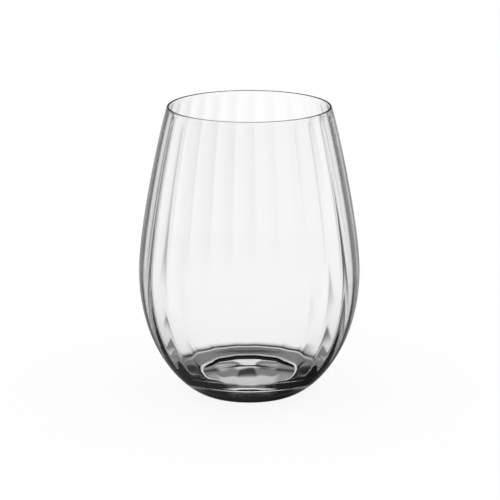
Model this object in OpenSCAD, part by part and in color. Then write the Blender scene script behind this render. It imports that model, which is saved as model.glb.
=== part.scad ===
// Stemless water glass, blown in one piece
// Smooth egg-shaped outside, optic panels all round the inside, heavy base with a punt

/* [Outside] */
// Height from the table to the top of the lip
height = 120; // [105:1:140]
// Outside diameter at the lip
rim_d = 67; // [58:1:76]
// Outside diameter at the belly, the widest place
belly_d = 91; // [84:1:100]
// Height of the belly above the table
belly_z = 51; // [44:1:60]
// Outside diameter of the flat ring that the glass stands on
foot_d = 41; // [36:1:46]

/* [Outside curve] */
// Inward lean of the wall at the lip, in degrees from upright
lip_lean = 16; // [10:1:20]
// Rise of the bowl where it leaves the foot ring, in degrees from level
heel_rise = 20; // [12:1:28]
// How far up the wall stays upright above the belly, as a share of the wall's height
wall_fullness = 0.24; // [0.15:0.01:0.35]
// How far down the wall keeps the lean of the lip, as a share of the wall's height
lip_reach = 0.21; // [0.1:0.01:0.35]
// How far down the bowl stays upright below the belly, as a share of the bowl's height
bowl_fullness = 0.61; // [0.5:0.01:0.7]
// How far out the bowl keeps the rise of the heel, as a share of the bowl's width
heel_reach = 0.35; // [0.25:0.01:0.45]

/* [Glass thickness] */
// Wall at the lip, at the middle of a panel
rim_wall = 0.9; // [0.8:0.1:2]
// Wall at the belly, at the middle of a panel
belly_wall = 1.1; // [1:0.1:3]
// Glass in the base, from the top of the punt to the level of the inside floor
base_t = 4.2; // [3.5:0.1:7]

/* [Inside curve] */
// Diameter of the inside floor
floor_d = 51; // [44:1:56]
// Swell of the inside floor at its centre
floor_dome = 0.9; // [0:0.1:1.5]
// How far down the inside stays upright below the belly, as a share of the inside's depth
inside_fullness = 0.63; // [0.55:0.01:0.68]
// How far out the inside stays level beyond the floor, as a share of the inside's width
floor_reach = 0.24; // [0.15:0.01:0.4]

/* [Optic panels] */
// Number of panels round the inside
panel_count = 28; // [20:1:36]
// Turn of the panels about the upright axis, in degrees
panel_turn = 5; // [0:0.1:18]
// Depth of a panel on the wall, as a share of a flat panel's
wall_relief = 1; // [0.3:0.1:1.2]
// Depth of a panel at the floor, as a share of a flat panel's
floor_relief = 0.6; // [0.1:0.1:1.2]
// Height above which the panels have their full depth
relief_top = 64; // [45:1:90]

/* [Underside] */
// Width of the flat foot ring
foot_ring_w = 1.5; // [1:0.5:5]
// Rise of the hollow punt at the centre of the underside
punt_h = 4.2; // [1:0.1:6]
// Form of the punt, from 1 for a cone to 2 for a bowl
punt_shape = 1.3; // [1.2:0.1:2.5]

/* [Hidden] */

rim_r = rim_d / 2;
belly_r = belly_d / 2;
foot_r = foot_d / 2;
punt_r = foot_r - foot_ring_w;
floor_r = floor_d / 2;
floor_z = punt_h + base_t;
inner_rim_r = rim_r - rim_wall;
inner_belly_r = belly_r - belly_wall;

// The lip is rounded by this much on each side, and the wall ends where the rounding begins
lip_round = rim_wall * 0.4;
wall_top = height - lip_round;
wall_h = wall_top - belly_z;

curve_steps = 30;
floor_steps = 8;
punt_steps = 16;
lip_steps = 4;
panel_pitch = 360 / panel_count;
// A ring of the inside has a point on each ridge and one at the middle of each panel
ring_points = panel_count * 2;
flat_panel_depth = 1 / cos(panel_pitch / 2) - 1;

// Point at share t of a cubic curve with the four control points c
function on_curve(c, t) =
    pow(1 - t, 3) * c[0] + 3 * pow(1 - t, 2) * t * c[1] + 3 * (1 - t) * t * t * c[2] + pow(t, 3) * c[3];

// Points along the curve from its start up to, but not including, its end
function along(c) = [for (i = [0 : curve_steps - 1]) on_curve(c, i / curve_steps)];

// Wall from the belly up to the lip, for the radius at each of them
function wall_curve(belly, rim) = [
    [belly, belly_z],
    [belly, belly_z + wall_fullness * wall_h],
    [rim + lip_reach * wall_h * tan(lip_lean), wall_top - lip_reach * wall_h],
    [rim, wall_top]
];

bowl_curve = [
    [foot_r, 0],
    [foot_r + heel_reach * (belly_r - foot_r), heel_reach * (belly_r - foot_r) * tan(heel_rise)],
    [belly_r, belly_z * (1 - bowl_fullness)],
    [belly_r, belly_z]
];

inside_bowl_curve = [
    [floor_r, floor_z],
    [floor_r + floor_reach * (inner_belly_r - floor_r), floor_z],
    [inner_belly_r, belly_z - inside_fullness * (belly_z - floor_z)],
    [inner_belly_r, belly_z]
];

// Half section of the solid outside, from the centre of the punt out and up to the lip
punt_points = [
    for (i = [0 : punt_steps - 1])
        let (r = punt_r * i / punt_steps)
        [r, punt_h * (1 - pow(r / punt_r, punt_shape))]
];
lip_points = [
    for (i = [0 : lip_steps])
        let (a = 90 * i / lip_steps)
        [rim_r - lip_round * (1 - cos(a)), wall_top + lip_round * sin(a)]
];
outside_section = concat(
    punt_points,
    [[punt_r, 0]],
    along(bowl_curve),
    along(wall_curve(belly_r, rim_r)),
    lip_points,
    [[0, height]]
);

// Radius and height of each ring of the inside, from near the floor's centre out and up, and then
// rounding outward over the lip
floor_points = [
    for (i = [1 : floor_steps - 1])
        let (t = i / floor_steps)
        [floor_r * t, floor_z + floor_dome * pow(1 - t * t, 2)]
];
inner_lip_points = [
    for (i = [0 : lip_steps - 1])
        let (a = 90 * i / lip_steps)
        [inner_rim_r + lip_round * (1 - cos(a)), wall_top + lip_round * sin(a)]
];
mouth_overshoot = [inner_rim_r + lip_round, height + lip_round * 0.2];
inside_rings = concat(
    floor_points,
    along(inside_bowl_curve),
    along(wall_curve(inner_belly_r, inner_rim_r)),
    inner_lip_points,
    [mouth_overshoot]
);

// Share of a flat panel's depth at height z, growing smoothly from the floor to relief_top
function relief(z) =
    let (t = max(0, min(1, (z - floor_z) / (relief_top - floor_z))))
    floor_relief + (wall_relief - floor_relief) * t * t * (3 - 2 * t);

// Radius of a ring at its point k: even points lie on the ridges, odd ones at mid-panel
function panel_r(ring, k) =
    k % 2 == 0 ? ring[0] * (1 + relief(ring[1]) * flat_panel_depth) : ring[0];

// The hollow, as rings of points joined by triangles
module panelled_inside() {
    last = len(inside_rings) - 1;
    points = [
        for (ring = inside_rings)
            for (k = [0 : ring_points - 1])
                let (a = panel_turn + k * panel_pitch / 2)
                [panel_r(ring, k) * cos(a), panel_r(ring, k) * sin(a), ring[1]]
    ];
    floor_face = [for (k = [0 : ring_points - 1]) k];
    mouth_face = [for (k = [ring_points - 1 : -1 : 0]) last * ring_points + k];
    panel_faces = [
        for (j = [0 : last - 1])
            for (k = [0 : ring_points - 1])
                let (
                    next = (k + 1) % ring_points,
                    low = j * ring_points,
                    high = low + ring_points
                )
                each [[low + k, high + k, high + next], [low + k, high + next, low + next]]
    ];
    polyhedron(points, concat([floor_face], panel_faces, [mouth_face]));
}

module tumbler() {
    color([0.86, 0.9, 0.91, 0.35])
        difference() {
            rotate_extrude($fn = 180)
                polygon(outside_section);
            panelled_inside();
        }
}

tumbler();
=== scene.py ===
import math

import bmesh
import bpy
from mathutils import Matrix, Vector, geometry


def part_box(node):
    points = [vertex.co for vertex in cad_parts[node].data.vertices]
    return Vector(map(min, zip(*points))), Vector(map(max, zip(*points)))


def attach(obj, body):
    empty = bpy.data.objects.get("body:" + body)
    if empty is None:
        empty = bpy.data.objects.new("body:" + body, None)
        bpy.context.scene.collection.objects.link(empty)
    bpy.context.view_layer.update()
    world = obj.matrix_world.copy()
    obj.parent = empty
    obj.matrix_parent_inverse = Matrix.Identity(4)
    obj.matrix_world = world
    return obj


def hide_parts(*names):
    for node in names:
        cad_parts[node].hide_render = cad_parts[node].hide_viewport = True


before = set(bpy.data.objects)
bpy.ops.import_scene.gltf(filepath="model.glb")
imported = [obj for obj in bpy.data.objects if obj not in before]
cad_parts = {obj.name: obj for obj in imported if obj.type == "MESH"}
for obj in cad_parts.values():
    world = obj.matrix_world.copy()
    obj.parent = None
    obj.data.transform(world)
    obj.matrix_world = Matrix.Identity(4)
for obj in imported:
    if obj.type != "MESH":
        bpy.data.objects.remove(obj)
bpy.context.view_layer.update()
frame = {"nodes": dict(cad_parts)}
glassLow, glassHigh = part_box("tumbler")
scene = bpy.context.scene
scene.view_settings.view_transform = "Standard"
print("frame loaded:", ", ".join(frame["nodes"]))


# A socket in a node tree: sums and products of wires and numbers add their own Math nodes
class Wire:
    def __init__(self, bench, socket):
        self.bench = bench
        self.socket = socket

    def math(self, operation, *values):
        sockets = dict(enumerate(values))
        return self.bench.node("ShaderNodeMath", {"operation": operation}, sockets)

    def __add__(self, other):
        return self.math("ADD", self, other)

    def __radd__(self, other):
        return self.math("ADD", other, self)

    def __sub__(self, other):
        return self.math("SUBTRACT", self, other)

    def __rsub__(self, other):
        return self.math("SUBTRACT", other, self)

    def __mul__(self, other):
        return self.math("MULTIPLY", self, other)

    def __rmul__(self, other):
        return self.math("MULTIPLY", other, self)


# A node tree that is wired up from empty
class Bench:
    def __init__(self, tree):
        self.tree = tree
        tree.nodes.clear()

    # one node: its settings first, then the values or wires of its sockets
    def node(self, kind, settings=None, sockets=None, output=0):
        made = self.tree.nodes.new(kind)
        for name, value in (settings or {}).items():
            setattr(made, name, value)
        for name, value in (sockets or {}).items():
            if isinstance(value, Wire):
                self.tree.links.new(value.socket, made.inputs[name])
            else:
                made.inputs[name].default_value = value
        return Wire(self, made.outputs[output]) if len(made.outputs) else made

    # 0 below low and 1 above high, with soft ends
    def rise(self, value, low, high):
        sockets = {"Value": value, "From Min": low, "From Max": high}
        return self.node("ShaderNodeMapRange", {"interpolation_type": "SMOOTHSTEP"}, sockets)


# Camera at the photograph's angle
cameraView = {
    "focal": 192.24,       # mm, on a sensor 36 mm wide
    "distance": 1.1,       # m to the aim point
    "elevation": 14.4,     # degrees above level
    "aimHeight": 0.05944,  # m, where the middle of the frame meets the glass's axis
    "shift": 0.0014,       # share of the frame's width
}


def placeCamera():
    data = bpy.data.cameras.new("photoCamera")
    data.lens = cameraView["focal"]
    data.shift_x = cameraView["shift"]
    camera = bpy.data.objects.new("photoCamera", data)
    scene.collection.objects.link(camera)
    lean = math.radians(cameraView["elevation"])
    back = Vector((0, -math.cos(lean), math.sin(lean)))
    camera.location = Vector((0, 0, cameraView["aimHeight"])) + back * cameraView["distance"]
    camera.rotation_euler = (-back).to_track_quat("-Z", "Y").to_euler()
    scene.camera = camera


placeCamera()
print("camera placed")


# Clear blown glass: barely wavy, a shade greyer where the base is thick
clearGlass = {
    "lipTint": (0.996, 0.997, 0.997, 1),
    "baseTint": (0.975, 0.978, 0.978, 1),
    "heavyBelow": 0.012,   # m, height up to which the base tint holds
    "thinAbove": 0.04,     # m, height from which the lip tint holds
    "polish": 0.004,       # roughness of the fire-polished surface
    "bloom": 0.006,        # roughness added in the faintest patches
    "bloomScale": 55,      # patches per metre
    "waveScale": 38,       # waves per metre
    "waveHeight": 0.00002,
}


def makeClearGlass():
    material = bpy.data.materials.new("clearGlass")
    material.use_nodes = True
    bench = Bench(material.node_tree)
    place = bench.node("ShaderNodeTexCoord", output="Object")
    height = bench.node("ShaderNodeSeparateXYZ", {}, {"Vector": place}, "Z")
    thin = bench.rise(height, clearGlass["heavyBelow"], clearGlass["thinAbove"])
    colours = {"Factor": thin, 6: clearGlass["baseTint"], 7: clearGlass["lipTint"]}
    tint = bench.node("ShaderNodeMix", {"data_type": "RGBA"}, colours, 2)
    bloom = bench.node("ShaderNodeTexNoise", {}, {"Vector": place, "Scale": clearGlass["bloomScale"]})
    ripple = {"Vector": place, "Scale": clearGlass["waveScale"], "Detail": 1}
    waves = bench.node("ShaderNodeTexNoise", {}, ripple)
    bump = {"Height": waves, "Strength": 1, "Distance": clearGlass["waveHeight"]}
    finish = {
        "Base Color": tint,
        "Roughness": clearGlass["polish"] + clearGlass["bloom"] * bloom,
        "IOR": 1.5,
        "Transmission Weight": 1,
        "Normal": bench.node("ShaderNodeBump", {}, bump),
    }
    surface = bench.node("ShaderNodeBsdfPrincipled", {}, finish)
    bench.node("ShaderNodeOutputMaterial", {}, {"Surface": surface})
    return material


# The water glass: half section in metres, then the optic panels pressed into its inside
tumbler = {
    "rimRadius": 0.0335,
    "bellyHeight": 0.051,
    "footRadius": 0.0205,
    "lipLean": 16,          # degrees from upright
    "heelRise": 20,         # degrees from level
    "wallFullness": 0.24,
    "lipReach": 0.21,
    "bowlFullness": 0.61,
    "heelReach": 0.35,
    "rimWall": 0.0009,
    "bellyWall": 0.0011,
    "puntHeight": 0.0042,
    "puntShape": 1.3,       # 1 is a cone, 2 a bowl
    "baseThickness": 0.0042,
    "footRingWidth": 0.0015,
    "floorRadius": 0.0255,
    "floorDome": 0.0009,    # m that the floor swells at its centre
    "insideFullness": 0.63,
    "floorReach": 0.24,
    "lipRound": 0.00038,
    "footRound": 0.0005,
    "panels": 28,
    "stepsPerPanel": 12,
    "ridgeShare": 0.35,     # share of a panel's half width that its rounded ridge takes
    "wallRelief": 1.0,      # 1 is a flat panel
    "baseRelief": 0.6,
    "reliefFrom": 0.02,     # m, heights between which the relief grows
    "reliefTo": 0.064,
    "lipFade": 0.004,       # m below the lip where the relief dies out
    "turn": -0.9,           # degrees that the panels are turned at the base
    "twist": -1.8,          # and that they turn further between base and lip
    "backTurn": 4.7,        # and that they lie further round at the back
    "wander": 0.35,         # degrees of unevenness between panels
}


def curve(start, startHandle, endHandle, end, steps):
    knots = [Vector((r, 0, z)) for r, z in (start, startHandle, endHandle, end)]
    return geometry.interpolate_bezier(*knots, steps + 1)


def wallCurve(belly, rim, top, steps):
    g = tumbler
    rise = top - g["bellyHeight"]
    lean = math.tan(math.radians(g["lipLean"])) * g["lipReach"] * rise
    return curve((belly, g["bellyHeight"]), (belly, g["bellyHeight"] + g["wallFullness"] * rise),
                 (rim + lean, top - g["lipReach"] * rise), (rim, top), steps)


def insideSection(belly, top):
    g = tumbler
    inner = belly - g["bellyWall"]
    floor = g["puntHeight"] + g["baseThickness"]
    reach = g["floorRadius"] + g["floorReach"] * (inner - g["floorRadius"])
    upright = g["bellyHeight"] - g["insideFullness"] * (g["bellyHeight"] - floor)
    shares = [k / 20 for k in range(20)]
    level = [Vector((g["floorRadius"] * k, 0, floor + g["floorDome"] * (1 - k * k) ** 2)) for k in shares]
    bowl = curve((g["floorRadius"], floor), (reach, floor), (inner, upright), (inner, g["bellyHeight"]), 56)
    wall = wallCurve(inner, g["rimRadius"] - g["rimWall"], top, 40)
    return level + bowl[:-1] + wall


def outsideSection(belly, top):
    g = tumbler
    reach = g["heelReach"] * (belly - g["footRadius"])
    heel = (g["footRadius"] + reach, reach * math.tan(math.radians(g["heelRise"])))
    bowl = curve((g["footRadius"], 0), heel, (belly, g["bellyHeight"] * (1 - g["bowlFullness"])),
                 (belly, g["bellyHeight"]), 44)
    wall = wallCurve(belly, g["rimRadius"], top, 34)
    hollow = g["footRadius"] - g["footRingWidth"]
    shares = [k / 20 for k in range(21)]
    punt = [Vector((hollow * k, 0, g["puntHeight"] * (1 - k ** g["puntShape"]))) for k in shares]
    return punt + bowl[:-1] + wall


# depth of the panels at this height, on a ring of this radius
def panelRelief(radius, height, top):
    g = tumbler
    grown = min(max((height - g["reliefFrom"]) / (g["reliefTo"] - g["reliefFrom"]), 0), 1)
    share = g["baseRelief"] + (g["wallRelief"] - g["baseRelief"]) * grown * grown * (3 - 2 * grown)
    fade = min((top - height) / g["lipFade"], 1)
    return share * fade * radius * (1 / math.cos(math.pi / g["panels"]) - 1)


# 0 at the middle of a panel, 1 on the ridge between two panels
def panelWave(angle, height, top):
    g = tumbler
    pitch = 2 * math.pi / g["panels"]
    turn = math.radians(g["turn"] + g["twist"] * height / top)
    turn += math.radians(g["backTurn"]) * max(math.sin(angle), 0) ** 2
    turn += math.radians(g["wander"]) * (math.sin(3 * angle + 1) + math.sin(5 * angle))
    across = abs(((angle - turn) / pitch + 0.5) % 1 * 2 - 1)
    ridge = g["ridgeShare"]
    past = max(across - (1 - ridge), 0)
    return min(across, 1 - ridge) ** 2 + 2 * (1 - ridge) * (past - past * past / (2 * ridge))


def makeTumbler():
    g = tumbler
    top = glassHigh.z
    belly = (glassHigh.x - glassLow.x) / 2
    bm = bmesh.new()
    relief = bm.verts.layers.float.new("panelRelief")
    inside = [bm.verts.new(point) for point in insideSection(belly, top)]
    outside = [bm.verts.new(point) for point in outsideSection(belly, top)]
    for vert in inside:
        vert[relief] = panelRelief(vert.co.x, vert.co.z, top)
    chain = inside + outside[::-1]
    for start, end in zip(chain, chain[1:]):
        bm.edges.new((start, end))

    # round the lip and both edges of the foot ring, then turn the section once round
    foot = [vert for vert in outside if vert.co.z < 1e-6]
    for corners, size in (([inside[-1], outside[-1]], g["lipRound"]), (foot, g["footRound"])):
        bmesh.ops.bevel(bm, geom=corners, offset=size, offset_type="OFFSET", segments=5, profile=0.5,
                        affect="VERTICES", material=-1)
    bmesh.ops.spin(bm, geom=bm.verts[:] + bm.edges[:], cent=(0, 0, 0), axis=(0, 0, 1), angle=2 * math.pi,
                   steps=g["panels"] * g["stepsPerPanel"], use_merge=True)
    bmesh.ops.remove_doubles(bm, verts=bm.verts, dist=1e-7)
    bmesh.ops.recalc_face_normals(bm, faces=bm.faces)

    for vert in bm.verts:
        if vert[relief] > 0:
            out = Vector((vert.co.x, vert.co.y, 0))
            wave = panelWave(math.atan2(out.y, out.x), vert.co.z, top)
            vert.co += out.normalized() * vert[relief] * wave
    for face in bm.faces:
        face.smooth = True
    mesh = bpy.data.meshes.new("waterGlass")
    bm.to_mesh(mesh)
    bm.free()
    mesh.materials.append(makeClearGlass())
    piece = bpy.data.objects.new("waterGlass", mesh)
    scene.collection.objects.link(piece)
    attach(piece, "root")
    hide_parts("tumbler")
    return piece


waterGlass = makeTumbler()
print("water glass made:", len(waterGlass.data.polygons), "faces")


# Pale floor that only the camera and the soft light meet, with a light shadow under the glass
floorSheet = {
    "size": 8,
    "colour": (0.1, 0.1, 0.1, 1),
    "glow": 0.9,
}


def makeFloor():
    bm = bmesh.new()
    bmesh.ops.create_grid(bm, x_segments=1, y_segments=1, size=floorSheet["size"])
    mesh = bpy.data.meshes.new("floorSheet")
    bm.to_mesh(mesh)
    bm.free()
    material = bpy.data.materials.new("paleFloor")
    material.use_nodes = True
    bench = Bench(material.node_tree)
    seen = bench.node("ShaderNodeLightPath", output="Is Camera Ray")
    matt = bench.node("ShaderNodeBsdfDiffuse", {}, {"Color": floorSheet["colour"]})
    shine = {"Color": (1, 1, 1, 1), "Strength": floorSheet["glow"] * seen}
    glow = bench.node("ShaderNodeEmission", {}, shine)
    both = bench.node("ShaderNodeAddShader", {}, {0: matt, 1: glow})
    bench.node("ShaderNodeOutputMaterial", {}, {"Surface": both})
    mesh.materials.append(material)
    floor = bpy.data.objects.new("floorSheet", mesh)
    scene.collection.objects.link(floor)
    floor.visible_transmission = False
    floor.visible_glossy = False


makeFloor()
print("floor laid")


# Studio round the glass: white to the eye, while light through the glass comes from a white screen
# that stands behind it from every side, with a pale strip of table before it, in a dark room
studio = {
    "screenMiddle": -0.9,         # degrees to the right of straight ahead of the camera
    "screenEdge": (-12.5, 16.9),  # degrees above straight ahead, of its lower and upper edge
    "screenHalf": (4.2, 16.3),    # degrees from its middle, where it begins to fade and ends
    "screenBow": 0.07,            # rise of its lower edge, for each square degree from the middle
    "screenLight": 1.065,
    "upperPart": (-2.6, 2.9),     # degrees above straight ahead, where its dimmer upper part starts
    "upperDim": 0.05,
    "upperSlant": 0.021,          # how much brighter the upper part is for each degree to its right
    "slantEnd": (-5.5, 2.2),      # degrees to the left and right where that stops
    "gap": (-18.8, -14.7),        # degrees above straight ahead, of the dark gap before the table
    "gapHalf": (1.5, 4.5),        # degrees from the screen's middle, where the gap fades and ends
    "gapDepth": 0.8,
    "strip": (-30.5, -20.1),      # degrees above straight ahead, of the pale strip of table
    "stripBow": 0.048,
    "stripLight": 0.8,
    "softEdge": 3,                # degrees over which the edges of screen and room fade
    "softFoot": 6,                # the same for the screen's lower edge
    "softStrip": 2,               # and for the strip and the gap
    "roomEdge": -22,              # the dark room's walls reach down to here, and the table lies below
    "roomLight": 0.02,
    "roomLean": 0.6,              # how much more room light comes from the right
    "tableLight": 0.29,
    "tableEnd": -49,              # the glass keeps the light off the table nearer than this
    "softTable": 8,
    "gleam": 1.22,                # light that the surface mirrors, strongest from level with it
    "gleamLow": (-0.69, -0.17),   # sine of the elevation, where the gleam starts and is full
    "gleamHigh": (0.02, 0.31),    # and where it begins to fade and ends
    "gleamAhead": 0.32,           # share of it that is left ahead
    "gleamBehind": 0.3,           # and behind
    "gleamSide": (50, 60),        # degrees from straight ahead, where it grows to full strength
    "gleamBack": (88, 102),       # and where it sinks again
    "gleamLean": 0.06,            # how much more gleam comes from the right
    "softLight": 1.0,             # plain light on the floor
}


# light through the glass from one direction: degrees aside of and above straight ahead, and elevation
def screenedLight(bench, aside, height, elevation, room):
    def above(value, edge, soft=studio["softEdge"]):
        return bench.rise(value, edge - soft / 2, edge + soft / 2)

    def between(value, edges, soft=studio["softStrip"]):
        return above(value, edges[0], soft) * (1 - above(value, edges[1], soft))

    table = above(elevation, studio["tableEnd"], studio["softTable"])
    table = table * (1 - above(elevation, studio["roomEdge"]))
    dim = room + table * (studio["tableLight"] - room)
    screenLow, screenHigh = studio["screenEdge"]
    slantLeft, slantRight = studio["slantEnd"]
    side = aside - studio["screenMiddle"]
    apart = side.math("ABSOLUTE", side)
    across = 1 - bench.rise(apart, *studio["screenHalf"])
    foot = above(height - studio["screenBow"] * side * side, screenLow, studio["softFoot"])
    upper = bench.rise(height, *studio["upperPart"])
    slant = side.math("MINIMUM", side.math("MAXIMUM", side, slantLeft), slantRight)
    bright = studio["screenLight"] * (1 + upper * (studio["upperSlant"] * slant - studio["upperDim"]))
    screen = foot * (1 - above(height, screenHigh)) * (bright - dim)
    strip = between(height - studio["stripBow"] * side * side, studio["strip"])
    light = dim + across * (screen + strip * (1 - foot) * (studio["stripLight"] - dim))
    gap = between(height, studio["gap"]) * (1 - bench.rise(apart, *studio["gapHalf"]))
    return light * (1 - studio["gapDepth"] * gap)


def lightStudio():
    world = bpy.data.worlds.new("studio")
    world.use_nodes = True
    scene.world = world
    bench = Bench(world.node_tree)
    seen, mirrored, through = [bench.node("ShaderNodeLightPath", output=name)
                               for name in ("Is Camera Ray", "Is Glossy Ray", "Is Transmission Ray")]
    way = bench.node("ShaderNodeTexCoord", output="Generated")
    x, y, z = [bench.node("ShaderNodeSeparateXYZ", {}, {"Vector": way}, axis) for axis in "XYZ"]
    elevation = z.math("DEGREES", z.math("ARCSINE", z))
    view = bench.node("ShaderNodeTexCoord", output="Camera")
    right, up, ahead = [bench.node("ShaderNodeSeparateXYZ", {}, {"Vector": view}, axis) for axis in "XYZ"]
    aside = right.math("DEGREES", right.math("ARCTAN2", right, ahead))
    height = up.math("DEGREES", up.math("ARCSINE", up))
    room = studio["roomLight"] * (1 + studio["roomLean"] * x)
    screen = screenedLight(bench, aside, height, elevation, room)
    gleam = bench.rise(z, *studio["gleamLow"]) * (1 - bench.rise(z, *studio["gleamHigh"]))
    turned = aside.math("ABSOLUTE", aside)
    side = studio["gleamAhead"] + (1 - studio["gleamAhead"]) * bench.rise(turned, *studio["gleamSide"])
    side = side - (1 - studio["gleamBehind"]) * bench.rise(turned, *studio["gleamBack"])
    gleam = gleam * side * (1 + studio["gleamLean"] * x) * studio["gleam"]
    soft = studio["softLight"]
    strength = soft + (1 - soft) * seen + (screen - soft) * through
    strength = strength + (gleam - soft) * mirrored * (1 - through)
    light = bench.node("ShaderNodeBackground", {}, {"Color": (1, 1, 1, 1), "Strength": strength})
    bench.node("ShaderNodeOutputWorld", {}, {"Surface": light})
    scene.cycles.max_bounces = 32
    scene.cycles.glossy_bounces = 24
    scene.cycles.transmission_bounces = 32


lightStudio()
print("studio lit")
